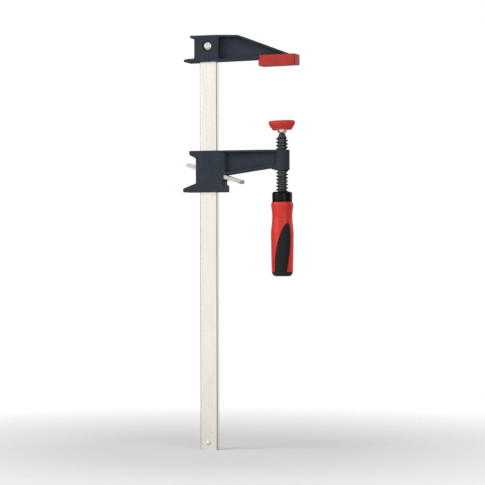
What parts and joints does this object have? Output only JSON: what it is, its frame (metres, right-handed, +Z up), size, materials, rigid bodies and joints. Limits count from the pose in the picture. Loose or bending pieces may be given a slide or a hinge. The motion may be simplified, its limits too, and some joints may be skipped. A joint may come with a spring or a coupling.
{
  "type": "clutch style bar clamp",
  "caption": "F clamp with a flat steel bar, fixed jaw, clutch-held sliding arm, screw with swivel cap and two-part grip.",
  "frame": {"origin": "centre of the free end face of the bar, on the bar's centre line", "axes": "+Z up along the bar towards the fixed jaw, +X from the bar into the throat towards the screw, Y across the thickness; +Y points to the back"},
  "size_m": [0.1112, 0.0248, 0.3928],
  "materials": {
    "casting_paint": "dark blue-grey powder coat on ductile iron",
    "zinc_steel": "bright zinc plate with faint rolling lines",
    "black_steel": "oiled black oxide",
    "spring_steel": "drawn wire",
    "red_pad": "soft satin vinyl",
    "red_grip": "moulded, semi-gloss",
    "black_core": "moulded, semi-gloss",
    "black_soft": "soft-touch, matt"
  },
  "bodies": {
    "frame": {"bar": "zinc_steel", "bar_stop_pin": "zinc_steel", "fixed_jaw": "casting_paint", "jaw_rivet": "zinc_steel", "jaw_pad": "red_pad"},
    "arm": {"sliding_arm": "casting_paint", "clutch_springs": "spring_steel"},
    "clutch": {"clutch_plate_upper": "zinc_steel", "clutch_plate_lower": "zinc_steel"},
    "swivel": {"swivel_socket": "zinc_steel"},
    "screw": {"spindle": "black_steel", "handle_core": "black_core", "handle_grip": "red_grip", "grip_inset_front": "black_soft", "grip_inset_back": "black_soft", "handle_end_cap": "black_core"},
    "cap": {"swivel_cap": "red_pad"}
  },
  "joints": [
    {"name": "arm_slide", "type": "slide", "parent": "frame", "child": "arm", "axis": [0, 0, 1], "range_m": [-0.2355, 0.029]},
    {"name": "clutch_release", "type": "hinge", "parent": "arm", "child": "clutch", "pos_m": [0.0174, 0, 0.26048], "axis": [0, -1, 0], "range_deg": [0, 11], "stiffness_Nm_per_rad": 0.16, "springref_deg": -14.32, "deforming": ["clutch_springs"]},
    {"name": "spindle_advance", "type": "slide", "parent": "arm", "child": "swivel", "axis": [0, 0, 1], "range_m": [-0.014, 0.0195]},
    {"name": "spindle_turn", "type": "hinge", "parent": "swivel", "child": "screw", "pos_m": [0.0721, 0, 0.3029], "axis": [0, 0, 1], "range_deg": [-1590, 2213]},
    {"name": "cap_tilt", "type": "hinge", "parent": "swivel", "child": "cap", "pos_m": [0.0721, 0, 0.3029], "axis": [0, 1, 0], "range_deg": [-6, 10]}
  ],
  "couplings": [
    {"joint": "spindle_turn", "follows": "spindle_advance", "rad_per_m": 1979}
  ]
}
